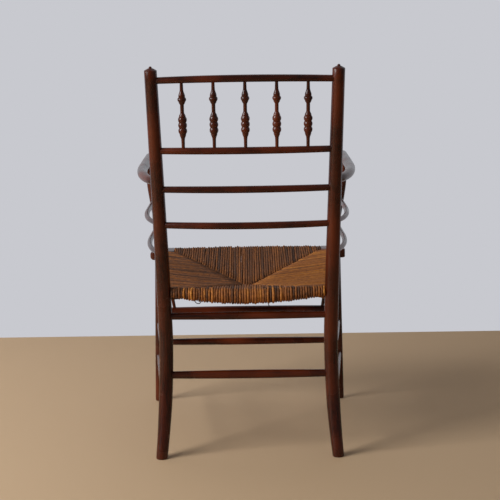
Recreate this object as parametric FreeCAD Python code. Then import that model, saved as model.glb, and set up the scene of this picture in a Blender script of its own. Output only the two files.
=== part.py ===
import FreeCAD, Part
import math
import os
from FreeCAD import Vector

# Rush-seated armchair with a row of turned spindles in its back.
# Millimetres. Z is up, the sitter faces -Y, and left is the sitter's left (+X).
# The origin is on the floor under the middle of the chair.
# Every left-hand piece is drawn, and its right-hand twin is its mirror image.

# Back posts: one bent, tapering round piece from foot to tip
total_height = 877.0
cap_height = 9.0
foot_x = 199.3
foot_y = 197.0
bend_x = 185.9
bend_y = 152.0
bend_z = 270.0
top_x = 197.5
top_y = 257.0
lean_power = 1.12
foot_diameter = 26.0
calf_diameter = 31.0
post_diameter_most = 32.2
top_diameter = 27.0
button_diameter = 7.0
foot_chamfer = 1.5

# Back rails: round and bowed backwards
top_rail_z = 847.0
spindle_rail_z = 697.0
middle_rail_z = 612.0
lower_rail_z = 532.0
rail_diameter = 15.4
rail_bow = 21.0
lower_rail_bow = 28.0
top_rail_arch = 3.3

# Back spindles
spindle_count = 5
spindle_pitch = 66.5
spindle_bead = 18.4
spindle_neck = 7.8
spindle_end = 7.0

# Corner blocks, which carry the front of the seat
block_bottom = 380.0
block_thickness = 22.0
block_outer_x = 248.0
block_inner_x = 187.0
block_front_y = -288.0
block_back_y = -228.0
block_corner = 9.0

# Front legs
leg_foot_x = 236.5
leg_foot_y = -270.0
leg_top_x = 225.5
leg_top_y = -272.0
leg_foot_diameter = 21.0
leg_top_diameter = 27.0
leg_tenon_share = 0.6

# Stretchers
front_upper_z = 238.5
front_upper_diameter = 21.5
front_lower_z = 156.0
front_lower_diameter = 19.0
back_upper_z = 319.0
back_upper_diameter = 17.5
back_lower_z = 183.0
back_lower_diameter = 19.8
side_upper_z = 208.0
side_lower_z = 122.0
side_stretcher_diameter = 18.0
stretcher_end_share = 0.82

# Arms and the two bowed rails under each
arm_back_z = 634.0
arm_front_z = 640.0
arm_front_x = 243.5
arm_tip_y = -291.0
arm_bow = 27.0
arm_thickness = 18.0
arm_back_width = 15.0
arm_elbow_width = 22.0
arm_front_width = 25.0
arm_tip_rounding = 12.5
arm_squareness = 0.7
upper_side_rail_z = 542.0
lower_side_rail_z = 474.0
side_rail_fall = 10.0
side_rail_bow = 23.0
side_rail_diameter = 11.5
side_rail_end_diameter = 9.5
outward_turn = 40.0

# Arm supports: from the upper front stretcher through the corner block to the arm
support_bottom_x = 190.5
support_top_x = 249.0
support_top_y = -228.0
support_diameter = 23.0
support_block_diameter = 14.0
support_bottom_diameter = 8.0
support_top_diameter = 14.0

# Seat rails, hidden in the rush except at their ends
front_rail_y = -264.0
seat_rail_diameter = 20.0
back_rail_z = 375.5
back_rail_diameter = 12.0
side_seat_rail_diameter = 16.0
side_rail_back_z = 361.0
side_rail_front_x = 219.0

# Rush seat
front_roll_diameter = 40.0
side_roll_diameter = 31.0
back_roll_diameter = 34.0
back_roll_end_diameter = 22.0
back_roll_sag = 8.0
rush_sag = 30.0
rush_middle_thickness = 17.0
rush_centre_y = 20.0
rush_seam_half = 6.0
rush_clearance = 0.3

# Round pieces are drawn with this many flats, and spindles with fewer
round_sides = 20
spindle_sides = 14

# Tenons: eight-sided, a little slack in their sockets
tenon_sides = 8
tenon_share = 0.78
tenon_depth = 13.0
fit = 0.1
socket_gap = 0.8

UP = Vector(0.0, 0.0, 1.0)
ORIGIN = Vector(0.0, 0.0, 0.0)
ACROSS = Vector(1.0, 0.0, 0.0)
post_shoulder = total_height - cap_height
pieces = {}
sockets = {}


# Small drawing helpers

def unit(vector):
    return Vector(vector).normalize()


def between(start, end, share):
    """The point at a share of the way from start to end."""
    return start + (end - start) * share


def mirrored(point):
    return Vector(-point.x, point.y, point.z)


def twin(solid):
    """The right-hand copy of a left-hand solid."""
    return solid.mirror(ORIGIN, ACROSS)


def stepped(stations, share):
    """The value at a share along (share, value) stations, straight between them."""
    for (low, first), (high, second) in zip(stations, stations[1:]):
        if share <= high:
            return first + (second - first) * (share - low) / (high - low)
    return stations[-1][1]


def ring(centre, direction, diameter, sides=round_sides):
    """The corners of a many-sided outline of a round piece, square to a direction."""
    return oval(centre, direction, diameter, diameter, 1.0, sides)


def oval(centre, direction, width, height, squareness, sides=round_sides):
    """The corners of an outline of any width and height; below 1, squareness fills its corners."""
    normal = unit(direction)
    aside = unit(normal.cross(UP if abs(normal.z) < 0.7 else ACROSS))
    upright = aside.cross(normal)
    corners = []
    for index in range(sides):
        angle = 2 * math.pi * index / sides
        over = math.copysign(abs(math.cos(angle)) ** squareness, math.cos(angle))
        rise = math.copysign(abs(math.sin(angle)) ** squareness, math.sin(angle))
        corners.append(centre + aside * (over * width / 2) + upright * (rise * height / 2))
    return corners


def flat(*corners):
    return Part.Face(Part.makePolygon([*corners, corners[0]]))


def skin(outlines):
    """A closed solid of flat faces through outlines that have as many corners each."""
    faces = [flat(*outlines[0]), flat(*outlines[-1])]
    level = 1e-6
    for lower, upper in zip(outlines, outlines[1:]):
        for index, corner in enumerate(lower):
            loop = (lower[index - 1], corner, upper[index], upper[index - 1])
            normal = unit((loop[1] - loop[0]).cross(loop[2] - loop[0]))
            if abs(normal.dot(loop[3] - loop[0])) < level:
                faces.append(flat(*loop))
            else:
                faces += [flat(*loop[:3]), flat(loop[0], *loop[2:])]
    return Part.makeSolid(Part.makeShell(faces))


def joined(solids):
    return solids[0].multiFuse(solids[1:])


def rod(stations, sides=round_sides):
    """A round piece through (centre, direction, diameter) stations, tapering from each to the next."""
    return skin([ring(*station, sides) for station in stations])


def straight_bar(start, end, diameter):
    return rod([(start, end - start, diameter), (end, end - start, diameter)])


def along_axis(start, direction, rows):
    """Stations for rod() from (distance, diameter) rows along a straight axis."""
    axis = unit(direction)
    return [(start + axis * distance, axis, diameter) for distance, diameter in rows]


def tenon_width(diameter):
    return diameter * tenon_share


def prism(start, direction, width, length):
    """A straight eight-sided stick, measured across its flats."""
    reach = width / 2 / math.cos(math.pi / tenon_sides)
    corners = []
    for index in range(tenon_sides + 1):
        angle = 2 * math.pi * (index + 0.5) / tenon_sides
        corners.append(Vector(reach * math.cos(angle), reach * math.sin(angle), 0.0))
    stick = Part.Face(Part.makePolygon(corners)).extrude(UP * length)
    stick.Placement = FreeCAD.Placement(start, FreeCAD.Rotation(UP, unit(direction)))
    return stick


def tenon(shoulder, direction, diameter, depth=tenon_depth):
    """A tenon for an end of this diameter, buried a little in its own piece so that the two join."""
    inside = 2.0
    return prism(shoulder - unit(direction) * inside, direction, tenon_width(diameter), depth + inside)


def socket(name, shoulder, direction, diameter, depth=tenon_depth):
    """Note the socket that this tenon needs in another piece."""
    outside = diameter / 2
    start = shoulder - unit(direction) * outside
    width = tenon_width(diameter) + 2 * fit
    sockets.setdefault(name, []).append(prism(start, direction, width, outside + depth + socket_gap))


def keep(name, solid):
    """Cut a piece's sockets and keep it; a left-hand piece also gives its right-hand twin."""
    for hole in sockets.get(name, []):
        solid = solid.cut(hole)
    pieces[name] = solid
    if name.endswith("_left"):
        pieces[name.replace("_left", "_right")] = twin(solid)


# Lines and places that the pieces share

def post_centre(z):
    """The left back post's centre line: bent outwards and backwards above and below the seat."""
    if z > bend_z:
        share = ((z - bend_z) / (post_shoulder - bend_z)) ** lean_power
        return Vector(bend_x + (top_x - bend_x) * share, bend_y + (top_y - bend_y) * share, z)
    share = ((bend_z - z) / bend_z) ** 2
    return Vector(bend_x + (foot_x - bend_x) * share, bend_y + (foot_y - bend_y) * share, z)


def post_diameter(z):
    girths = ((0.0, foot_diameter), (0.13, calf_diameter), (0.42, post_diameter_most), (1.0, top_diameter))
    return stepped(girths, max(z, 0.0) / post_shoulder)


def leg_centre(z):
    foot = Vector(leg_foot_x, leg_foot_y, 0.0)
    return between(foot, Vector(leg_top_x, leg_top_y, block_bottom), z / block_bottom)


def leg_diameter(z):
    return leg_foot_diameter + (leg_top_diameter - leg_foot_diameter) * z / block_bottom


def on_post(z):
    """The place of a piece that the left back post carries: its centre, axis and radius there."""
    return post_centre(z), unit(post_centre(z + 1) - post_centre(z - 1)), post_diameter(z) / 2


def on_leg(z):
    return leg_centre(z), unit(leg_centre(1) - leg_centre(0)), leg_diameter(z) / 2


def seat_on(place, direction):
    """Where a piece that leaves a post or leg in a direction starts, and how its end faces it."""
    centre, axis, radius = place
    along = unit(direction)
    facing = unit(along - axis * along.dot(axis))
    return centre + along * ((radius + fit) / along.dot(facing)), facing


block_middle = block_bottom + block_thickness / 2
arm_underside = arm_front_z - arm_thickness / 2 - fit
support_bottom = Vector(support_bottom_x, leg_centre(front_upper_z).y, front_upper_z)
support_top = Vector(support_top_x, support_top_y, arm_underside)
support_line = unit(support_top - support_bottom)


def support_centre(z):
    """The left arm support's straight axis, which leans outwards as it rises."""
    return between(support_bottom, support_top, (z - front_upper_z) / (arm_underside - front_upper_z))


# Back rails

def back_rail(z, bow, arch, straights):
    """A round rail bowed backwards between the posts, with straight stretches round given x places."""
    end = post_centre(z)
    middle = Vector(0.0, end.y + bow, z + arch)
    line = Part.Arc(end, middle, mirrored(end))
    half = spindle_end
    reach = line.length() / 2 - post_diameter(z) / 2 - fit

    def station(distance):
        """A place on the arc, by its distance from the middle of the back."""
        parameter = line.parameterAtDistance(line.length() / 2 - distance, line.FirstParameter)
        return line.value(parameter), line.tangent(parameter)[0]

    stations = []
    places = [reach] + straights + [-reach]
    for place in places:
        centre, direction = station(place)
        if abs(place) == reach:
            stations.append((centre, direction, rail_diameter))
        else:
            stations.append((centre - direction * half, direction, rail_diameter))
            stations.append((centre + direction * half, direction, rail_diameter))
    rail = rod(stations)
    shoulder, outward, _ = stations[0]
    outward = outward * -1
    pin = tenon(shoulder, outward, rail_diameter)
    socket("back_post_left", shoulder, outward, rail_diameter)
    return joined([rail, pin, twin(pin)]), line


spindle_places = [((spindle_count - 1) / 2 - index) * spindle_pitch for index in range(spindle_count)]
top_rail, top_line = back_rail(top_rail_z, rail_bow, top_rail_arch, spindle_places)
spindle_rail, spindle_line = back_rail(spindle_rail_z, rail_bow, 0.0, spindle_places)
keep("middle_rail", back_rail(middle_rail_z, rail_bow, 0.0, spindle_places[::2])[0])
keep("lower_rail", back_rail(lower_rail_z, lower_rail_bow, 0.0, spindle_places[::2])[0])


# Spindles: a tapering head and bead, a neck, three beads and a tapering foot

def rail_centre(line, place):
    parameter = line.parameterAtDistance(line.length() / 2 - place, line.FirstParameter)
    return line.value(parameter)


spindles = []
for place in spindle_places:
    upper = rail_centre(top_line, place)
    lower = rail_centre(spindle_line, place)
    downward = unit(lower - upper)
    start = upper + downward * (rail_diameter / 2 + fit)
    length = (lower - upper).Length - rail_diameter - 2 * fit
    groove = spindle_bead * 0.78
    shares = [
        (0.0, spindle_end), (0.1, spindle_neck), (0.2, groove), (0.247, spindle_bead), (0.29, groove),
        (0.345, spindle_neck), (0.45, spindle_neck), (0.51, groove)
    ]
    bead = 0.0885
    for index in range(3):
        shares += [(0.51 + bead * (index + 0.5), spindle_bead), (0.51 + bead * (index + 1), groove)]
    shares += [(0.87, spindle_neck), (1.0, spindle_end)]
    rows = [(share * length, diameter) for share, diameter in shares]
    body = rod(along_axis(start, downward, rows), spindle_sides)
    end = start + downward * length
    depth = rail_diameter / 3
    spindles.append(joined([
        body, tenon(start, downward * -1, spindle_end, depth), tenon(end, downward, spindle_end, depth)
    ]))
    socket("top_rail", start, downward * -1, spindle_end, depth)
    socket("spindle_rail", end, downward, spindle_end, depth)

keep("spindles", Part.makeCompound(spindles))
keep("top_rail", top_rail)
keep("spindle_rail", spindle_rail)


# Stretchers: straight bars, thickest in their middle

def stretcher(first, second, diameter, first_piece, second_piece):
    """A bar between places on two pieces."""
    run = second[0] - first[0]
    start, start_facing = seat_on(first, run)
    end, end_facing = seat_on(second, run * -1)
    length = (end - start).Length
    ends = diameter * stretcher_end_share
    nearly = (ends + 3 * diameter) / 4
    rows = [(0.0, ends), (0.25, nearly), (0.5, diameter), (0.75, nearly), (1.0, ends)]
    stations = along_axis(start, run, [(share * length, width) for share, width in rows])
    stations[0] = (start, start_facing, ends)
    stations[-1] = (end, end_facing * -1, ends)
    socket(first_piece, start, run * -1, ends)
    if second_piece:
        socket(second_piece, end, run, ends)
    return joined([rod(stations), tenon(start, run * -1, ends), tenon(end, run, ends)])


def cross_stretcher(place, diameter, carrier):
    centre, axis, radius = place
    return stretcher(place, (mirrored(centre), mirrored(axis), radius), diameter, carrier, None)


def front_stretcher_upper():
    """The one that carries the arm supports: plain where their tenons enter."""
    centre = leg_centre(front_upper_z)
    shoulder = centre - ACROSS * (leg_diameter(front_upper_z) / 2 + fit)
    ends = front_upper_diameter * stretcher_end_share
    plain = support_bottom_x + support_bottom_diameter
    outline = [(shoulder, ACROSS, ends)]
    for x in (plain, -plain):
        outline.append((Vector(x, shoulder.y, shoulder.z), ACROSS, front_upper_diameter))
    outline.append((mirrored(shoulder), ACROSS, ends))
    socket("front_leg_left", shoulder, ACROSS, ends)
    pin = tenon(shoulder, ACROSS, ends)
    return joined([rod(outline), pin, twin(pin)])


front_upper = front_stretcher_upper()
keep("front_stretcher_lower", cross_stretcher(on_leg(front_lower_z), front_lower_diameter, "front_leg_left"))
keep("back_stretcher_upper", cross_stretcher(on_post(back_upper_z), back_upper_diameter, "back_post_left"))
keep("back_stretcher_lower", cross_stretcher(on_post(back_lower_z), back_lower_diameter, "back_post_left"))
for name, z in (("side_stretcher_upper_left", side_upper_z), ("side_stretcher_lower_left", side_lower_z)):
    keep(name, stretcher(on_post(z), on_leg(z), side_stretcher_diameter, "back_post_left", "front_leg_left"))


# Arm supports: plain where the side rails enter, waisted above and below

shoulder_rise = UP * (front_upper_diameter / 2 + fit)
support_foot = support_bottom + support_line * (shoulder_rise.z / support_line.z)
stretcher_socket_depth = front_upper_diameter * 0.6
arm_socket_depth = arm_thickness * 0.55


def along_support(z):
    return (support_centre(z) - support_bottom).Length


swell = side_rail_end_diameter
outline = along_axis(support_bottom, support_line, [
    (along_support(block_bottom) - block_thickness, support_block_diameter),
    (along_support(block_middle) + block_thickness, support_block_diameter),
    (along_support(lower_side_rail_z - side_rail_fall) - swell, support_diameter),
    (along_support(upper_side_rail_z) + swell, support_diameter),
])
outline.insert(0, (support_foot, support_line, support_bottom_diameter))
outline.append((support_top, UP, support_top_diameter))
support = joined([
    rod(outline),
    tenon(support_foot, support_line * -1, support_bottom_diameter, stretcher_socket_depth),
    tenon(support_top, support_line, support_top_diameter, arm_socket_depth),
])
for mirror in (False, True):
    shoulder = mirrored(support_foot) if mirror else support_foot
    direction = mirrored(support_line * -1) if mirror else support_line * -1
    socket("front_stretcher_upper", shoulder, direction, support_bottom_diameter, stretcher_socket_depth)
keep("front_stretcher_upper", front_upper)
block_hole = straight_bar(
    support_centre(block_bottom - block_thickness), support_centre(block_bottom + 2 * block_thickness),
    support_block_diameter + 2 * fit
)
sockets.setdefault("corner_block_left", []).append(block_hole)


# Bowed pieces at the sides

def side_line(z, front, bow, arrival):
    """The line of a side piece: out of the back post, bowed outwards, forward to its front point."""
    post = post_centre(z)
    turn = math.radians(outward_turn)
    leaving = Vector(math.sin(turn), -math.cos(turn), 0.0)
    shoulder, facing = seat_on(on_post(z), leaving)
    points = [shoulder]
    for share, out in ((0.09, 1.0), (0.3, 1.0), (0.6, 0.55)):
        points.append(between(post, front, share) + ACROSS * bow * out)
    points.append(front)
    line = Part.BSplineCurve()
    line.interpolate(Points=points, InitialTangent=leaving, FinalTangent=arrival)
    return line, leaving, facing


def side_stations(line, facing, shares):
    """(centre, direction) pairs at shares of the line's length; the first faces the post."""
    pairs = [(line.value(line.FirstParameter), facing)]
    for share in shares[1:]:
        parameter = line.parameterAtDistance(line.length() * share, line.FirstParameter)
        pairs.append((line.value(parameter), line.tangent(parameter)[0]))
    return pairs


def side_rail(name, z):
    """A bowed round rail from the back post to the arm support."""
    centre = support_centre(z - side_rail_fall)
    straight = unit(centre - post_centre(z))
    front = centre - straight * (support_diameter / 2 + fit)
    line, leaving, facing = side_line(z, front, side_rail_bow, straight)
    girths = ((0.0, side_rail_end_diameter), (0.3, side_rail_diameter), (1.0, side_rail_end_diameter))
    shares = (0.0, 0.07, 0.14, 0.3, 0.6, 1.0)
    pairs = side_stations(line, facing, shares)
    rail = rod([(at, turn, stepped(girths, share)) for (at, turn), share in zip(pairs, shares)])
    depth = support_diameter * 0.4
    keep(name, joined([
        rail,
        tenon(pairs[0][0], leaving * -1, side_rail_end_diameter),
        tenon(front, straight, side_rail_end_diameter, depth),
    ]))
    socket("back_post_left", pairs[0][0], leaving * -1, side_rail_end_diameter)
    socket("arm_support_left", front, straight, side_rail_end_diameter, depth)


side_rail("side_rail_upper_left", upper_side_rail_z)
side_rail("side_rail_lower_left", lower_side_rail_z)
keep("arm_support_left", support)


def arm():
    """The armrest: slender where it leaves the post, then broad and flat, and rounded at its tip."""
    forward = Vector(0.0, -1.0, 0.0)
    front = Vector(arm_front_x, arm_tip_y + arm_tip_rounding, arm_front_z)
    line, leaving, facing = side_line(arm_back_z, front, arm_bow, forward)
    shares = (0.0, 0.06, 0.13, 0.3, 0.55, 0.86, 1.0)
    widths = (
        (0.0, arm_back_width), (0.13, arm_elbow_width), (0.55, (arm_elbow_width + arm_front_width) / 2),
        (0.86, arm_front_width), (1.0, arm_front_width)
    )
    pairs = side_stations(line, facing, shares)
    outlines = []
    for (centre, direction), share in zip(pairs, shares):
        width = stepped(widths, share)
        outlines.append(oval(centre, direction, width, min(width, arm_thickness), arm_squareness))
    for share in (0.5, 0.9):
        shrink = math.sqrt(1 - share ** 2)
        centre = front + forward * (arm_tip_rounding * share)
        width = arm_front_width * shrink
        outlines.append(oval(centre, forward, width, arm_thickness * shrink, arm_squareness))
    socket("back_post_left", pairs[0][0], leaving * -1, arm_back_width)
    socket("arm_left", support_top, support_line, support_top_diameter, arm_socket_depth)
    return joined([skin(outlines), tenon(pairs[0][0], leaving * -1, arm_back_width)])


keep("arm_left", arm())


# Seat rails: straight round bars

def seat_rail(name, first, second, diameter, first_piece, second_piece):
    """A bar between two (point, facing) ends."""
    start, end = first[0], second[0]
    along = end - start
    bar = rod([(*first, diameter), (*second, diameter)])
    socket(first_piece, start, along * -1, diameter)
    if second_piece:
        socket(second_piece, end, along, diameter)
    keep(name, joined([bar, tenon(start, along * -1, diameter), tenon(end, along, diameter)]))


inwards = ACROSS * -1
front_end = Vector(block_inner_x - fit, front_rail_y, block_middle)
seat_rail(
    "seat_front_rail", (front_end, inwards), (mirrored(front_end), inwards),
    seat_rail_diameter, "corner_block_left", None
)
back_end = seat_on(on_post(back_rail_z), inwards)[0]
seat_rail(
    "seat_back_rail", (back_end, inwards), (mirrored(back_end), inwards), back_rail_diameter, "back_post_left", None
)
side_front = Vector(side_rail_front_x, block_back_y + fit, block_middle)
side_post = on_post(side_rail_back_z)
side_back, side_facing = seat_on(side_post, side_front - side_post[0])
seat_rail(
    "seat_side_rail_left", (side_back, side_facing), (side_front, Vector(0.0, -1.0, 0.0)),
    side_seat_rail_diameter, "back_post_left", "corner_block_left"
)


# Corner blocks, front legs and back posts

def corner_block():
    """A flat block with its two outer corners cut back."""
    inner_front = (block_inner_x, block_front_y)
    outline = [
        inner_front, (block_outer_x - block_corner, block_front_y), (block_outer_x, block_front_y + block_corner),
        (block_outer_x, block_back_y - block_corner), (block_outer_x - block_corner, block_back_y),
        (block_inner_x, block_back_y), inner_front
    ]
    face = Part.Face(Part.makePolygon([Vector(x, y, block_bottom) for x, y in outline]))
    return face.extrude(UP * block_thickness)


def straight_stretches(centre, diameter, stretches, reach):
    """Stations for rod() that keep a piece straight and plain where other pieces enter it."""
    step = 1.0
    stations = []
    for low, high in stretches:
        middle = (low + high) / 2
        along = unit(centre(middle + step) - centre(middle - step))
        half = (high - low) / 2 + reach
        for distance in (-half, half):
            stations.append((centre(middle) + along * distance, along, diameter(middle)))
    return stations


def foot_stations(centre, diameter):
    """A level sole with a small bevel."""
    sole = (centre(0.0), UP, diameter(0.0) - 2 * foot_chamfer)
    return [sole, (centre(foot_chamfer), UP, diameter(foot_chamfer))]


def front_leg():
    """A straight tapering leg with a tenon in the corner block."""
    head = leg_centre(block_bottom - fit)
    along = head - leg_centre(0.0)
    stretches = ((side_lower_z, front_lower_z), (side_upper_z, front_upper_z))
    stations = foot_stations(leg_centre, leg_diameter)
    stations += straight_stretches(leg_centre, leg_diameter, stretches, front_upper_diameter / 2)
    stations.append((head, UP, leg_top_diameter))
    pin = leg_top_diameter * leg_tenon_share
    socket("corner_block_left", head, along, pin)
    return joined([rod(stations), tenon(head, along, pin)])


def back_post():
    """A bent round post with a domed top and a small button."""
    stretches = (
        (side_lower_z, side_lower_z), (back_lower_z, side_upper_z), (back_upper_z, side_rail_back_z),
        (lower_side_rail_z, upper_side_rail_z), (middle_rail_z, arm_back_z),
        (spindle_rail_z, spindle_rail_z), (top_rail_z, top_rail_z)
    )
    stations = foot_stations(post_centre, post_diameter)
    stations += straight_stretches(post_centre, post_diameter, stretches, side_rail_diameter)
    head = post_centre(post_shoulder)
    along = unit(head - post_centre(top_rail_z))
    for rise, diameter in ((0.0, top_diameter), (0.6, button_diameter * 1.5), (1.0, button_diameter * 0.6)):
        stations.append((head + UP * cap_height * rise, UP if rise else along, diameter))
    return rod(stations)


leg = front_leg()
keep("corner_block_left", corner_block())
keep("front_leg_left", leg)
keep("back_post_left", back_post())


# Rush seat: a padded roll round each rail and a middle that hollows towards its seams

def hollow_middle():
    """The woven middle: a pad whose four sides fall to the seams."""
    front = Vector(block_inner_x, front_rail_y, block_middle)
    side = Vector(side_rail_front_x, block_back_y, block_middle)
    back = Vector(bend_x, post_centre(back_rail_z).y, back_rail_z)
    corners = [front, side, back, mirrored(back), mirrored(side), mirrored(front)]
    low = between(front, back, 0.5).z - rush_sag
    seam = Vector(rush_seam_half, rush_centre_y, low)
    faces = []
    rims = []
    for side_of_pad in (1, -1):
        lift = UP * (side_of_pad * rush_middle_thickness / 2)
        rim = [corner + lift for corner in corners]
        left = seam + lift
        right = mirrored(seam) + lift
        loops = [
            (rim[0], rim[1], left), (rim[1], rim[2], left), (rim[2], rim[3], right, left),
            (rim[3], rim[4], right), (rim[4], rim[5], right), (rim[5], rim[0], left, right)
        ]
        faces += [Part.Face(Part.makePolygon(list(loop) + [loop[0]])) for loop in loops]
        rims.append(rim)
    upper, lower = rims
    for index in range(len(upper)):
        after = (index + 1) % len(upper)
        loop = [upper[index], upper[after], lower[after], lower[index], upper[index]]
        faces.append(Part.Face(Part.makePolygon(loop)))
    return Part.makeSolid(Part.makeShell(faces))


def rush_seat():
    gap = rush_clearance
    start = front_end - ACROSS * gap
    front = straight_bar(start, mirrored(start), front_roll_diameter)
    back_start = post_centre(back_rail_z)
    back_stations = []
    for share in (0.0, 0.25, 0.5, 0.75, 1.0):
        fullness = math.sin(math.pi * share)
        centre = between(back_start, mirrored(back_start), share) - UP * (back_roll_sag * fullness)
        girth = back_roll_end_diameter + (back_roll_diameter - back_roll_end_diameter) * fullness
        back_stations.append((centre, inwards, girth))
    back = rod(back_stations)
    side = straight_bar(side_back, side_front, side_roll_diameter)
    rush = joined([hollow_middle(), front, back, side, twin(side)])
    notch = Part.makeBox(
        block_outer_x, front_roll_diameter + block_back_y - block_front_y, total_height,
        Vector(block_inner_x - gap, block_front_y - front_roll_diameter + gap, 0.0)
    )
    room_start = post_centre(back_rail_z - 2 * back_roll_diameter)
    room_end = post_centre(back_rail_z + 2 * back_roll_diameter)
    room = straight_bar(room_start, room_end, post_diameter_most + 4 * gap)
    for hole in (notch, twin(notch), room, twin(room)):
        rush = rush.cut(hole)
    bars = []
    for end, other_end, diameter in (
        (front_end, mirrored(front_end), seat_rail_diameter), (back_end, mirrored(back_end), back_rail_diameter),
        (side_back, side_front, side_seat_rail_diameter)
    ):
        along = unit(other_end - end)
        length = (other_end - end).Length + 2 * tenon_depth
        bars.append(prism(end - along * tenon_depth, along, diameter + 2 * gap, length))
    for bar in bars + [twin(bars[-1])]:
        rush = rush.cut(bar)
    return rush


keep("rush_seat", rush_seat())

# Write one STEP file for each piece

os.makedirs("parts", exist_ok=True)
for name in sorted(pieces):
    pieces[name].exportStep("parts/%s.step" % name)
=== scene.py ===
import bpy
import math
import random
from mathutils import Matrix, Vector


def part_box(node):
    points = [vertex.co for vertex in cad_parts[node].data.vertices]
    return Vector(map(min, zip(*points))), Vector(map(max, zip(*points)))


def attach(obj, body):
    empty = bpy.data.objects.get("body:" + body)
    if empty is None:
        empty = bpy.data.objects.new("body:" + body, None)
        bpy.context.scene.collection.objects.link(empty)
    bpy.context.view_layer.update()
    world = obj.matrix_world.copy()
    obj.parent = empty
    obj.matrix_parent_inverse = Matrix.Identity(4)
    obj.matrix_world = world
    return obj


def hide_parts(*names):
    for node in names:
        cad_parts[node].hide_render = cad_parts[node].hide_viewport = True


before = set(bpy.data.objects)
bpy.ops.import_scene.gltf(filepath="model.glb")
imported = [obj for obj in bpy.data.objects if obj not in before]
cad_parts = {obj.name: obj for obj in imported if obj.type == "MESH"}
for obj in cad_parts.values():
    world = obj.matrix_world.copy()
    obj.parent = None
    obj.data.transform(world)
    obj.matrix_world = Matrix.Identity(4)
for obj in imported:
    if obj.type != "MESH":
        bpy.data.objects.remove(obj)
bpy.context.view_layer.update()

# The camera stands behind the chair at about eye height and looks down on it a little,
# with a long lens, turned a touch so that the chair leans as it does in the photograph.
bpy.ops.object.select_all(action="DESELECT")
bpy.ops.object.camera_add()
camera = bpy.context.object
camera.data.lens = 90
camera.data.sensor_width = 36
camera_place = Vector((-0.0061, 2.902, 0.929))
look_down = math.radians(90 - 9.54)
lean = math.radians(-0.8)
camera.matrix_world = (
    Matrix.Translation(camera_place) @ Matrix.Rotation(math.pi, 4, "Z")
    @ Matrix.Rotation(look_down, 4, "X") @ Matrix.Rotation(lean, 4, "Z")
)
bpy.context.scene.camera = camera
bpy.context.scene.view_settings.view_transform = "Standard"


def linear(hex_colour):
    """A material colour from its sRGB hex value."""
    parts = [int(hex_colour[i:i + 2], 16) / 255 for i in (1, 3, 5)]
    return [part / 12.92 if part <= 0.04045 else ((part + 0.055) / 1.055) ** 2.4 for part in parts] + [1.0]


def add_node(material, kind, sockets={}, **settings):
    """A shader node with its settings, and its sockets set to values or linked from other sockets."""
    node = material.node_tree.nodes.new(kind)
    for setting, value in settings.items():
        setattr(node, setting, value)
    for socket, value in sockets.items():
        if isinstance(value, bpy.types.NodeSocket):
            material.node_tree.links.new(value, node.inputs[socket])
        else:
            node.inputs[socket].default_value = value
    return node


def new_material(name):
    """An empty material with its output and shader nodes."""
    material = bpy.data.materials.new(name)
    material.use_nodes = True
    return material, material.node_tree.nodes["Principled BSDF"], material.node_tree.nodes["Material Output"]


# A plain pale floor and a paler wall behind the chair, lit softly from the left of the picture
# as by a large window, with an even fill from the room.
floor_paint, shader, _ = new_material("limewashed_floor")
shader.inputs["Base Color"].default_value = linear("#c2a583")
shader.inputs["Roughness"].default_value = 0.7
wall_y = -1.0
bpy.ops.mesh.primitive_plane_add(size=1, location=(0, wall_y + 6, 0))
floor = bpy.context.object
floor.name = "studio_floor"
floor.scale = (12, 12, 1)
bpy.ops.object.transform_apply(location=True, rotation=True, scale=True)
floor.data.materials.append(floor_paint)

wall_paint, shader, output = new_material("matt_wall_paint")
shader.inputs["Base Color"].default_value = linear("#c9cace")
shader.inputs["Roughness"].default_value = 0.9
ray = add_node(wall_paint, "ShaderNodeLightPath")
seen = add_node(wall_paint, "ShaderNodeMath", {
    0: ray.outputs["Is Camera Ray"], 1: ray.outputs["Is Glossy Ray"]
}, operation="MAXIMUM")
seen = add_node(wall_paint, "ShaderNodeMath", {
    0: seen.outputs[0], 1: ray.outputs["Is Transmission Ray"]
}, operation="MAXIMUM")
pale = add_node(wall_paint, "ShaderNodeEmission", {"Color": linear("#c8c9cf"), "Strength": 1.0})
mix = add_node(wall_paint, "ShaderNodeMixShader", {
    0: seen.outputs[0], 1: shader.outputs[0], 2: pale.outputs[0]
})
# from its back the wall is clear, so that the chair can be seen from the front too
face = add_node(wall_paint, "ShaderNodeNewGeometry")
clear = add_node(wall_paint, "ShaderNodeBsdfTransparent")
mix = add_node(wall_paint, "ShaderNodeMixShader", {
    0: face.outputs["Backfacing"], 1: mix.outputs[0], 2: clear.outputs[0]
})
wall_paint.node_tree.links.new(mix.outputs[0], output.inputs["Surface"])
bpy.ops.mesh.primitive_plane_add(size=1, location=(0, wall_y, 3), rotation=(math.radians(-90), 0, 0))
wall = bpy.context.object
wall.name = "studio_wall"
wall.scale = (12, 6, 1)
bpy.ops.object.transform_apply(location=True, rotation=True, scale=True)
wall.data.materials.append(wall_paint)

lamp_aim = Vector((0, 0, 0.45))
for place, size, power in (((2.9, 1.5, 2.0), 1.8, 135), ((-2.4, 2.4, 2.6), 2.4, 3)):
    bpy.ops.object.light_add(type="AREA", location=place)
    lamp = bpy.context.object
    lamp.data.size = size
    lamp.data.energy = power
    lamp.rotation_euler = (lamp_aim - Vector(place)).to_track_quat("-Z", "Y").to_euler()
world = bpy.data.worlds.new("room")
world.use_nodes = True
world.node_tree.nodes["Background"].inputs["Color"].default_value = linear("#e8e6e2")
world.node_tree.nodes["Background"].inputs["Strength"].default_value = 0.22
bpy.context.scene.world = world


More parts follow.
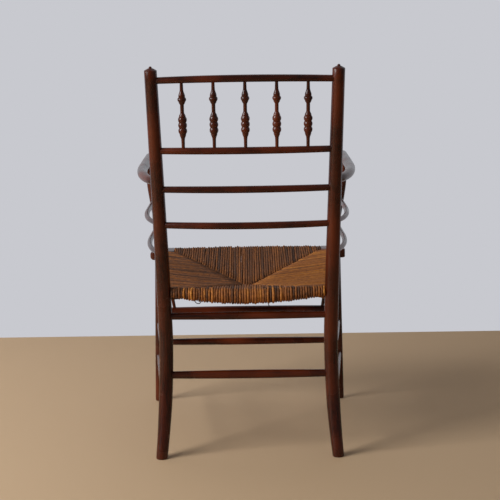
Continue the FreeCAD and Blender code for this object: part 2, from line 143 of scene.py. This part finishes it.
# Back posts: each is one ash pole, turned to a taper, steamed and bent so that it kicks out below
# the seat and leans back above it. A low dome and a button finish its top.
def stained_ash(name, along):
    """Ash, stained dark red-brown and rubbed with shellac, with its grain along one axis.

    It looks nearly black in the pores and redder where hands have worn the colour.
    """
    material, shader, _ = new_material(name)
    pore_width, pore_length = 0.004, 0.09
    place = add_node(material, "ShaderNodeTexCoord")
    scale = [1 / pore_width] * 3
    scale["XYZ".index(along)] = 1 / pore_length
    grain_place = add_node(material, "ShaderNodeMapping", {"Vector": place.outputs["Object"], "Scale": scale})
    grain = add_node(material, "ShaderNodeTexNoise", {
        "Vector": grain_place.outputs[0], "Scale": 1.0, "Detail": 5.0, "Roughness": 0.6
    })
    wear_width = 0.11
    wear = add_node(material, "ShaderNodeTexNoise", {
        "Vector": place.outputs["Object"], "Scale": 1 / wear_width, "Detail": 3.0
    })
    stain = add_node(material, "ShaderNodeValToRGB", {"Fac": grain.outputs["Fac"]})
    stain.color_ramp.elements[0].position = 0.3
    stain.color_ramp.elements[0].color = linear("#1c0803")
    stain.color_ramp.elements[1].position = 0.72
    stain.color_ramp.elements[1].color = linear("#431606")
    rubbed = add_node(material, "ShaderNodeMapRange", {
        "Value": wear.outputs["Fac"], "From Min": 0.4, "From Max": 0.75, "To Min": 0.0, "To Max": 0.5
    })
    colour = add_node(material, "ShaderNodeMix", {
        0: rubbed.outputs[0], 6: stain.outputs["Color"], 7: linear("#7c3009")
    }, data_type="RGBA")
    polish = add_node(material, "ShaderNodeMapRange", {
        "Value": wear.outputs["Fac"], "From Min": 0.3, "From Max": 0.7, "To Min": 0.2, "To Max": 0.36
    })
    relief = add_node(material, "ShaderNodeBump", {
        "Height": grain.outputs["Fac"], "Strength": 0.25, "Distance": 0.0004
    })
    material.node_tree.links.new(colour.outputs[2], shader.inputs["Base Color"])
    material.node_tree.links.new(polish.outputs[0], shader.inputs["Roughness"])
    material.node_tree.links.new(relief.outputs[0], shader.inputs["Normal"])
    shader.inputs["Coat Weight"].default_value = 0.06
    shader.inputs["Coat Roughness"].default_value = 0.14
    shader.inputs["Specular IOR Level"].default_value = 0.3
    return material


def stick(name, points, diameters, wood, *nodes, corners="VECTOR", steps=1):
    """A round stick swept along points, with a diameter at each, standing for its CAD nodes."""
    bpy.ops.object.select_all(action="DESELECT")
    bpy.ops.curve.primitive_bezier_curve_add()
    curve = bpy.context.object
    curve.location = (0, 0, 0)
    curve.name = name
    spline = curve.data.splines[0]
    spline.bezier_points.add(len(points) - 2)
    for knot, point, diameter in zip(spline.bezier_points, points, diameters):
        knot.co = point
        knot.radius = diameter / 2
        knot.handle_left_type = corners
        knot.handle_right_type = corners
    curve.data.resolution_u = steps
    curve.data.bevel_depth = 1.0
    curve.data.bevel_resolution = 10
    curve.data.use_fill_caps = True
    bpy.ops.object.convert(target="MESH")
    piece = bpy.context.object
    bpy.ops.object.mode_set(mode="EDIT")
    bpy.ops.mesh.select_all(action="SELECT")
    bpy.ops.mesh.normals_make_consistent(inside=False)
    bpy.ops.object.mode_set(mode="OBJECT")
    bpy.ops.object.shade_smooth_by_angle(angle=math.radians(40))
    piece.data.materials.clear()
    piece.data.materials.append(wood)
    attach(piece, "root")
    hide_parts(*nodes)
    return piece


def eased(rows, place):
    """The value at a place along (place, value) rows, with a smooth ease between them."""
    for (low, first), (high, second) in zip(rows, rows[1:]):
        if place <= high:
            share = max(0.0, (place - low) / (high - low))
            return first + (second - first) * (0.5 - 0.5 * math.cos(math.pi * share))
    return rows[-1][1]


def stepped(rows, place):
    """The value at a place along (place, value) rows, straight between them."""
    for (low, first), (high, second) in zip(rows, rows[1:]):
        if place <= high:
            return first + (second - first) * (place - low) / (high - low)
    return rows[-1][1]


sides = (("left", 1), ("right", -1))
bend = Vector((0.1859, 0.152, 0.270))
foot = Vector((0.1993, 0.197, 0.0))
shoulder = Vector((0.1975, 0.257, 0.868))


def post_centre(z):
    """The left post's centre at a height: straight up the back, and kicking out under the bend."""
    if z > bend.z:
        share = ((z - bend.z) / (shoulder.z - bend.z)) ** 1.12
        return Vector((bend.x + (shoulder.x - bend.x) * share, bend.y + (shoulder.y - bend.y) * share, z))
    share = ((bend.z - z) / bend.z) ** 2
    return Vector((bend.x + (foot.x - bend.x) * share, bend.y + (foot.y - bend.y) * share, z))


def post_girth(z):
    """The post's diameter at a height."""
    return stepped(((0, 0.026), (0.113, 0.031), (0.3646, 0.0322), (0.868, 0.027)), z)


def on_side(point, sign):
    """A point of the left side, or its mirror image on the right."""
    return Vector((point.x * sign, point.y, point.z))


upright_ash = stained_ash("stained_ash_upright", "Z")
heights = [0.0, 0.0005, 0.002] + [shoulder.z * index / 40 for index in range(1, 41)]
cap = (
    (0.0006, 0.0262), (0.0022, 0.0205), (0.004, 0.014), (0.0052, 0.0085), (0.0058, 0.0062), (0.0068, 0.0066),
    (0.0082, 0.0052), (0.009, 0.002)
)
cap_slant = 0.17
foot_slant_x = 0.099
foot_slant_y = 0.333
levelled_height = 0.03
for side, sign in sides:
    points = [on_side(post_centre(z), sign) for z in heights]
    girths = [post_girth(z) for z in heights]
    girths[0] *= 0.86
    girths[1] *= 0.95
    for rise, girth in cap:
        points.append(on_side(post_centre(shoulder.z), sign) + Vector((0, rise * cap_slant, rise)))
        girths.append(girth)
    post = stick("post_" + side, points, girths, upright_ash, "back_post_" + side)
    # the foot is cut level, although the post meets the floor at a slant
    for vertex in post.data.vertices:
        slant = foot_slant_y * (vertex.co.y - foot.y) + foot_slant_x * (abs(vertex.co.x) - foot.x)
        vertex.co.z -= slant * min(1.0, max(0.0, 1.0 - (vertex.co.z - slant) / levelled_height))


# Back rails: four slim ash rods tenoned into the posts and bowed backwards to fit the sitter.
# The top one also rises a little in its middle.
cross_ash = stained_ash("stained_ash_cross", "X")


def rail_line(z, bow, arch=0.0):
    """Points of a rail from post to post, as an arc in plan."""
    end = post_centre(z)
    shares = [index / 24 * 2 - 1 for index in range(25)]
    return [Vector((end.x * s, end.y + bow * (1 - s * s), z + arch * (1 - s * s))) for s in shares]


rail_girth = 0.0156
rail_bow = 0.021
top_arch = 0.0033
top_rail_z = 0.847
spindle_rail_z = 0.697
for name, z, bow, arch in (
    ("top_rail", top_rail_z, rail_bow, top_arch), ("spindle_rail", spindle_rail_z, rail_bow, 0.0),
    ("middle_rail", 0.612, rail_bow, 0.0), ("lower_rail", 0.532, 0.028, 0.0)
):
    line = rail_line(z, bow, arch)
    girths = [rail_girth * (0.9 + 0.1 * (1 - (2 * index / 24 - 1) ** 2)) for index in range(25)]
    stick(name + "_rod", line, girths, cross_ash, name)


# Spindles: five small turnings between the two upper rails, each with one bead over a thin neck
# and three beads in a row under it, cut on the lathe with a gouge and a skew.
# each row is a distance in mm under the top rail and the girth there in mm
spindle_rows = (
    (0, 7.0), (13, 7.6), (28, 14.4), (29.6, 13.6), (30.4, 15.6), (32.2, 18.0), (34.5, 18.8), (36.8, 18.0),
    (38.8, 15.2), (40.5, 13.8), (47, 8.2), (62, 8.2), (71, 14.4), (72.2, 14.2)
)
beads = ((72.2, 84.2), (84.2, 96.4), (96.4, 108.4))
foot_rows = ((108.4, 14.2), (110, 14.0), (121.5, 8.0), (126, 7.5), (142, 7.2))


groove_girth = 14.2
bead_swell = 4.8


def spindle_girth(mm):
    """The girth of a spindle, in mm, at a distance in mm under the top rail."""
    for low, high in beads:
        if low <= mm <= high:
            return groove_girth + bead_swell * math.sin(math.pi * (mm - low) / (high - low)) ** 0.65
    return eased(spindle_rows if mm < beads[0][0] else foot_rows, mm)


def rail_point(x, z, arch=0.0):
    """The point of a bowed back rail's line at x."""
    end = post_centre(z)
    rise = 1 - (x / end.x) ** 2
    return Vector((x, end.y + rail_bow * rise, z + arch * rise))


spindle_pitch = 0.0665
spindle_steps = 120
for number in range(5):
    x = (number - 2) * spindle_pitch
    upper = rail_point(x, top_rail_z, top_arch)
    lower = rail_point(x, spindle_rail_z)
    length = (lower - upper).length
    shares = [index / spindle_steps for index in range(spindle_steps + 1)]
    points = [upper.lerp(lower, share) for share in shares]
    girths = [spindle_girth((share * length - rail_girth / 2) * 1000) / 1000 for share in shares]
    stick("spindle_%d" % (number + 1), points, girths, upright_ash, "spindles")


# Arms: sawn ash, bent outwards as they leave the posts and shaved broad and flat towards the
# front, where they end in a rounded tip. They sit on the arm supports.
fore_ash = stained_ash("stained_ash_fore", "Y")


leaving_angle = math.radians(40)
inner_end = 0.006


def side_points(z, front, bow, drop):
    """Points of a piece that leaves the post, bows outwards and runs forward to its front point."""
    post = post_centre(z) - Vector((0, 0, drop))
    out = Vector((math.sin(leaving_angle), -math.cos(leaving_angle), 0))
    points = [post + out * inner_end, post + out * (post_girth(z) / 2)]
    for share, swing in ((0.06, 0.57), (0.17, 0.93), (0.36, 1.05), (0.64, 0.66)):
        points.append(post.lerp(front, share) + Vector((bow * swing, 0, 0)))
    points.append(front)
    return points


arm_front = Vector((0.2435, -0.2785, 0.640))
arm_back_z = 0.634
arm_drop = 0.004
arm_bow = 0.027
arm_rear_y = 0.2
arm_length = 0.476
arm_flattening = 0.28
for side, sign in sides:
    points = side_points(arm_back_z, arm_front, arm_bow, arm_drop)
    girths = [0.0145, 0.015, 0.0185, 0.0212, 0.0228, 0.024, 0.025]
    for reach, girth in ((0.005, 0.0232), (0.009, 0.0180), (0.0118, 0.0098), (0.0125, 0.003)):
        points.append(arm_front + Vector((0, -reach, 0)))
        girths.append(girth)
    points = [on_side(point, sign) for point in points]
    arm = stick("arm_" + side + "_rest", points, girths, fore_ash, "arm_" + side, corners="AUTO", steps=10)
    for vertex in arm.data.vertices:
        forward = (arm_rear_y - vertex.co.y) / arm_length
        rear_level = arm_back_z - arm_drop
        level = rear_level + (arm_front.z - rear_level) * min(1.0, max(0.0, forward))
        flatness = 1.0 - arm_flattening * min(1.0, max(0.0, forward * 1.3))
        vertex.co.z = level + (vertex.co.z - level) * flatness


# Rails under the arms: two thin ash rods a side, bent like the arms, from post to arm support.
support_foot = Vector((0.1905, -0.2713, 0.2385))
support_head = Vector((0.249, -0.228, 0.6309))


def support_centre(z):
    """The left arm support's centre at a height."""
    return support_foot.lerp(support_head, (z - support_foot.z) / (support_head.z - support_foot.z))


side_rail_bow = 0.023
side_rail_drop = 0.006
for side, sign in sides:
    for name, z, fall in (("upper", 0.542, 0.010), ("lower", 0.474, 0.005)):
        line = side_points(z, support_centre(z - fall), side_rail_bow, side_rail_drop)
        points = [on_side(point, sign) for point in line]
        girths = [0.0094, 0.0095, 0.0100, 0.0108, 0.0115, 0.0112, 0.0095]
        label = "side_rail_%s_%s" % (name, side)
        stick(label + "_rod", points, girths, fore_ash, label, corners="AUTO", steps=10)


# Arm supports: turned ash sticks that start in the upper front stretcher, pass through the corner
# blocks leaning outwards, swell where the side rails enter, and end under the arms.
support_rows = (
    (0.240, 0.008), (0.262, 0.0085), (0.355, 0.0139), (0.430, 0.0145), (0.482, 0.0222), (0.52, 0.0232),
    (0.552, 0.0228), (0.630, 0.014), (0.640, 0.014)
)
support_low = 0.244
support_length = 0.392
for side, sign in sides:
    levels = [support_low + support_length * index / 40 for index in range(41)]
    points = [on_side(support_centre(z), sign) for z in levels]
    girths = [eased(support_rows, z) for z in levels]
    stick("support_" + side, points, girths, upright_ash, "arm_support_" + side)


# Corner blocks: flat pieces of ash that join the seat rails to the front legs, with their outer
# corners rounded and their edges eased. Each is let over a leg and bored for an arm support.
corner_rounding = 0.009
edge_easing = 0.0028
for side, sign in sides:
    low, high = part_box("corner_block_" + side)
    low, high = Vector(low), Vector(high)
    bpy.ops.object.select_all(action="DESELECT")
    bpy.ops.mesh.primitive_cube_add(size=1, location=(low + high) / 2)
    block = bpy.context.object
    block.name = "block_" + side
    block.scale = high - low
    bpy.ops.object.transform_apply(location=True, rotation=True, scale=True)
    bpy.ops.object.mode_set(mode="EDIT")
    bpy.ops.mesh.select_all(action="DESELECT")
    bpy.ops.object.mode_set(mode="OBJECT")
    outer_x = high.x if sign > 0 else low.x
    for edge in block.data.edges:
        first, second = (block.data.vertices[index].co for index in edge.vertices)
        edge.select = abs(first.z - second.z) > 0.01 and abs(first.x - outer_x) < 0.001
    bpy.ops.object.mode_set(mode="EDIT")
    bpy.ops.mesh.select_mode(type="EDGE")
    bpy.ops.mesh.bevel(offset=corner_rounding, segments=6)
    bpy.ops.object.mode_set(mode="OBJECT")
    easing = block.modifiers.new("eased_edges", "BEVEL")
    easing.width = edge_easing
    easing.segments = 4
    easing.angle_limit = math.radians(50)
    easing.limit_method = "ANGLE"
    bpy.ops.object.modifier_apply(modifier=easing.name)
    bpy.ops.object.shade_smooth_by_angle(angle=math.radians(40))
    block.data.materials.append(cross_ash)
    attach(block, "root")
    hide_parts("corner_block_" + side)


# Front legs: straight turned ash, thinner at the foot, tenoned up into the corner blocks.
leg_foot = Vector((0.2365, -0.270, 0.0))
leg_head = Vector((0.2255, -0.272, 0.380))
leg_rows = ((0.0, 0.018), (0.003, 0.021), (0.380, 0.027))
for side, sign in sides:
    levels = [0.0, 0.001, 0.003] + [leg_head.z * index / 20 for index in range(1, 21)]
    points = [on_side(leg_foot.lerp(leg_head, z / leg_head.z), sign) for z in levels]
    stick("leg_" + side, points, [stepped(leg_rows, z) for z in levels], upright_ash, "front_leg_" + side)


# Stretchers: turned ash rods that tie the legs together, two to each side of the chair,
# thickest in their middle.
def leg_centre(z):
    """The left front leg's centre at a height."""
    return leg_foot.lerp(leg_head, z / leg_head.z)


def stretcher(name, start, end, girth, wood):
    """A straight rung from leg to leg, thickest in its middle."""
    shares = [index / 20 for index in range(21)]
    points = [start.lerp(end, share) for share in shares]
    girths = [girth * (0.82 + 0.18 * math.sin(math.pi * share)) for share in shares]
    stick(name + "_rod", points, girths, wood, name)


for name, z, girth, carrier in (
    ("front_stretcher_upper", 0.2385, 0.0215, leg_centre),
    ("front_stretcher_lower", 0.156, 0.019, leg_centre),
    ("back_stretcher_upper", 0.319, 0.0175, post_centre),
    ("back_stretcher_lower", 0.183, 0.0198, post_centre)
):
    stretcher(name, carrier(z), on_side(carrier(z), -1), girth, cross_ash)
for side, sign in sides:
    for name, z in (("side_stretcher_upper_", 0.208), ("side_stretcher_lower_", 0.122)):
        stretcher(name + side, on_side(post_centre(z), sign), on_side(leg_centre(z), sign), 0.018, fore_ash)


# Seat rails: bare ash rods, hidden in the rush. They stay as the CAD has them.
# Turned ash with no stain looks dry and pale, with a faint grain.
bare_ash, shader, _ = new_material("bare_ash")
place = add_node(bare_ash, "ShaderNodeTexCoord")
grain_width = 0.0056
grain = add_node(bare_ash, "ShaderNodeTexNoise", {
    "Vector": place.outputs["Object"], "Scale": 1 / grain_width, "Detail": 4.0
})
tone = add_node(bare_ash, "ShaderNodeValToRGB", {"Fac": grain.outputs["Fac"]})
tone.color_ramp.elements[0].color = linear("#5a3d24")
tone.color_ramp.elements[1].color = linear("#94714a")
bare_ash.node_tree.links.new(tone.outputs["Color"], shader.inputs["Base Color"])
shader.inputs["Roughness"].default_value = 0.7
for name in ("seat_front_rail", "seat_back_rail", "seat_side_rail_left", "seat_side_rail_right"):
    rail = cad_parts[name]
    rail.data.materials.clear()
    rail.data.materials.append(bare_ash)


# Rush seat: cords of twisted bulrush, each wound over a rail, run to the seam of its corner and
# back under, back under, so that four triangles of cord meet along four seams and a short middle one.
def twisted_rush():
    """Bulrush leaves twisted into cord: matt and fibrous, brown with paler and golden cords,
    darker in the grooves of the twist."""
    material, shader, _ = new_material("twisted_rush")
    leaf_width = 0.0072
    tone = add_node(material, "ShaderNodeAttribute", attribute_name="cord_tone")
    place = add_node(material, "ShaderNodeTexCoord")
    leaf = add_node(material, "ShaderNodeTexNoise", {
        "Vector": place.outputs["Object"], "Scale": 1 / leaf_width, "Detail": 6.0, "Roughness": 0.7
    })
    shade = add_node(material, "ShaderNodeMath", {0: leaf.outputs["Fac"], 1: 0.5}, operation="SUBTRACT")
    shade = add_node(material, "ShaderNodeMath", {
        0: shade.outputs[0], 1: 0.9, 2: tone.outputs["Fac"]
    }, operation="MULTIPLY_ADD")
    colour = add_node(material, "ShaderNodeValToRGB", {"Fac": shade.outputs[0]})
    ramp = colour.color_ramp
    ramp.elements[0].position = 0.0
    ramp.elements[0].color = linear("#1c0c05")
    ramp.elements[1].position = 1.0
    ramp.elements[1].color = linear("#dc9f48")
    for position, value in ((0.3, "#553012"), (0.55, "#8c511e"), (0.8, "#b87328")):
        ramp.elements.new(position).color = linear(value)
    twist_place = add_node(material, "ShaderNodeUVMap", uv_map="cord_lay")
    lay = 0.014
    twist_scale = add_node(material, "ShaderNodeMapping", {
        "Vector": twist_place.outputs[0], "Scale": (1 / lay, 1.0, 1.0)
    })
    strands = add_node(material, "ShaderNodeTexWave", {
        "Vector": twist_scale.outputs[0], "Scale": 0.3183, "Distortion": 1.5, "Detail": 2.0
    }, bands_direction="DIAGONAL")
    height = add_node(material, "ShaderNodeMath", {
        0: leaf.outputs["Fac"], 1: 0.6, 2: strands.outputs["Fac"]
    }, operation="MULTIPLY_ADD")
    relief = add_node(material, "ShaderNodeBump", {
        "Height": height.outputs[0], "Strength": 0.7, "Distance": 0.0008
    })
    material.node_tree.links.new(colour.outputs["Color"], shader.inputs["Base Color"])
    material.node_tree.links.new(relief.outputs[0], shader.inputs["Normal"])
    shader.inputs["Roughness"].default_value = 0.8
    return material


rush = twisted_rush()
dice = random.Random(11)
cord = 0.0056
cord_sides = 6
rush_thickness = 0.017
apex_half = 0.006
apex_y = 0.030
seam_level = 0.362


def crossing(start, direction, first, second):
    """How far along a direction from a start a cord meets the seam from first to second, in plan."""
    seam = second - first
    across = direction.x * seam.y - direction.y * seam.x
    offset = first - start
    if abs(across) < 1e-9:
        return None, None
    reach = (offset.x * seam.y - offset.y * seam.x) / across
    share = (offset.x * direction.y - offset.y * direction.x) / across
    if reach < 0 or share < -0.001 or share > 1.001:
        return None, None
    return reach, share


def cord_path(place, inward, roll, reach, seam_z):
    """One cord's line: under the seat from the seam, round the rail's roll and back over the top."""
    points = []
    under = seam_z - rush_thickness
    for share in (1.0, 0.5, 0.12):
        level = place.z - roll + (under - (place.z - roll)) * share
        points.append(place + inward * (reach * share) + Vector((0, 0, level - place.z)))
    for angle in (-75, -40, 0, 40, 75):
        turn = math.radians(angle)
        points.append(place - inward * (roll * math.cos(turn)) + Vector((0, 0, roll * math.sin(turn))))
    for share in (0.04, 0.2, 0.4, 0.6, 0.8, 0.97):
        level = place.z + roll + (seam_z - (place.z + roll)) * (share ** 0.85)
        points.append(place + inward * (reach * share) + Vector((0, 0, level - place.z)))
    points.append(points[-1] + inward * 0.001 + Vector((0, 0, -0.006)))
    return points


def weave(name, first, second, inward, roll_at, seams, tones, sag=0.0):
    """All the cords of one side of the seat, in one piece. The sag lowers them along the rail's middle."""
    vertices = []
    faces = []
    lay = []
    colours = []
    length = (second - first).length
    count = int(length / cord)
    for index in range(count):
        share = (index + 0.5) / count
        place = first.lerp(second, share) - Vector((0, 0, sag * math.sin(math.pi * share)))
        best = None
        for start, end in seams:
            reach, along = crossing(place, inward, start, end)
            if reach is not None and (best is None or reach < best[0]):
                best = (reach, start.lerp(end, along).z)
        if best is None:
            continue
        roll = roll_at(share) + dice.gauss(0, 0.0005)
        path = cord_path(place, inward, roll, best[0], best[1])
        thick = cord / 2 * dice.uniform(0.92, 1.22)
        tone = dice.gauss(tones[0], tones[1])
        sway = dice.gauss(0, 0.0005)
        sideways = (second - first).normalized()
        travelled = 0.0
        for step, point in enumerate(path):
            before = path[max(0, step - 1)]
            after = path[min(len(path) - 1, step + 1)]
            forward = (after - before).normalized()
            upward = sideways.cross(forward).normalized()
            across = forward.cross(upward).normalized()
            point = point + sideways * (sway * math.sin(step * 0.9)) + upward * dice.gauss(0, 0.0003)
            if step:
                travelled += (point - last).length
            last = point
            for corner in range(cord_sides):
                angle = 2 * math.pi * corner / cord_sides
                turn = across * (thick * math.cos(angle)) + upward * (thick * math.sin(angle))
                vertices.append(point + turn)
                colours.append(tone + dice.gauss(0, 0.03))
            if step:
                high = len(vertices) - cord_sides
                low = high - cord_sides
                for corner in range(cord_sides):
                    turned = (corner + 1) % cord_sides
                    faces.append((low + corner, low + turned, high + turned, high + corner))
                    lay.append((travelled, corner / cord_sides))
        ends = len(vertices)
        faces.append(tuple(ends - cord_sides + corner for corner in range(cord_sides)))
        lay.append((travelled, 0))
        start = ends - cord_sides * len(path)
        faces.append(tuple(start + cord_sides - 1 - corner for corner in range(cord_sides)))
        lay.append((0, 0))
    mesh = bpy.data.meshes.new(name)
    mesh.from_pydata(vertices, [], faces)
    tone_layer = mesh.attributes.new("cord_tone", "FLOAT", "POINT")
    tone_layer.data.foreach_set("value", colours)
    uv = mesh.uv_layers.new(name="cord_lay")
    for polygon, (along, around) in zip(mesh.polygons, lay):
        for loop in polygon.loop_indices:
            uv.data[loop].uv = (along, around)
    piece = bpy.data.objects.new(name, mesh)
    bpy.context.collection.objects.link(piece)
    bpy.ops.object.select_all(action="DESELECT")
    piece.select_set(True)
    bpy.context.view_layer.objects.active = piece
    bpy.ops.object.mode_set(mode="EDIT")
    bpy.ops.mesh.select_all(action="SELECT")
    bpy.ops.mesh.normals_make_consistent(inside=False)
    bpy.ops.object.mode_set(mode="OBJECT")
    bpy.ops.object.shade_smooth_by_angle(angle=math.radians(70))
    mesh.materials.append(rush)
    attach(piece, "root")
    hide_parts("rush_seat")
    return piece


front_z = 0.391
back_z = 0.3755
front_left = Vector((0.187, -0.264, front_z))
front_right = Vector((-0.187, -0.264, front_z))
side_left = Vector((0.219, -0.228, front_z))
side_left_back = Vector((0.186, 0.150, 0.361))
back_left = Vector((0.173, 0.167, back_z))
side_right = Vector((-0.219, -0.228, front_z))
side_right_back = Vector((-0.186, 0.150, 0.361))
back_right = Vector((-0.173, 0.167, back_z))
apex_left = Vector((apex_half, apex_y, seam_level))
apex_right = Vector((-apex_half, apex_y, seam_level))
corner_front_left = Vector((0.189, -0.250, front_z + 0.008))
corner_front_right = Vector((-0.189, -0.250, front_z + 0.008))
corner_back_left = Vector((0.175, 0.155, back_z + 0.004))
corner_back_right = Vector((-0.175, 0.155, back_z + 0.004))


full_roll = 0.0135


def even_roll(size):
    """A roll a little thinner at its ends, as a radius for a share of its length."""
    return lambda share: size * (0.86 + 0.14 * math.sin(math.pi * share))


def back_roll(share):
    """The back roll's radius: thin at the posts, where few cords fit, and full in its middle."""
    return 0.0095 + 0.006 * math.sin(math.pi * share) ** 0.7


weave("rush_front", front_left, front_right, Vector((0, 1, 0)), even_roll(full_roll), (
    (corner_front_left, apex_left), (apex_left, apex_right), (apex_right, corner_front_right)
), (0.43, 0.08))
weave("rush_back", back_right, back_left, Vector((0, -1, 0)), back_roll, (
    (corner_back_left, apex_left), (apex_left, apex_right), (apex_right, corner_back_right)
), (0.52, 0.14), sag=0.010)
weave("rush_left", side_left, side_left_back, Vector((-1, 0, 0)), even_roll(full_roll), (
    (corner_front_left, apex_left), (apex_left, corner_back_left)
), (0.4, 0.08))
weave("rush_right", side_right, side_right_back, Vector((1, 0, 0)), even_roll(full_roll), (
    (corner_front_right, apex_right), (apex_right, corner_back_right)
), (0.6, 0.09))


# Loose rush: a worn loop and a broken strand that hang under the back roll. Both are thin leaf
# fibres that have come out of the cords with use.
for name, points in (
    ("loose_loop", (
        (0.1193, 0.168, 0.3604), (0.1179, 0.168, 0.3544), (0.1133, 0.168, 0.3502),
        (0.1077, 0.168, 0.3506), (0.1042, 0.168, 0.3567)
    )),
    ("loose_strand", (
        (-0.0432, 0.168, 0.3603), (-0.0438, 0.168, 0.3523), (-0.0455, 0.168, 0.3466),
        (-0.0481, 0.168, 0.3402)
    ))
):
    bpy.ops.object.select_all(action="DESELECT")
    bpy.ops.curve.primitive_bezier_curve_add()
    curve = bpy.context.object
    curve.location = (0, 0, 0)
    curve.name = name
    spline = curve.data.splines[0]
    spline.bezier_points.add(len(points) - 2)
    for knot, point in zip(spline.bezier_points, points):
        knot.co = point
        knot.handle_left_type = "AUTO"
        knot.handle_right_type = "AUTO"
    curve.data.resolution_u = 6
    curve.data.bevel_depth = 0.0009
    curve.data.bevel_resolution = 3
    curve.data.use_fill_caps = True
    bpy.ops.object.convert(target="MESH")
    leaf = bpy.context.object
    leaf.data.materials.append(rush)
    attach(leaf, "root")
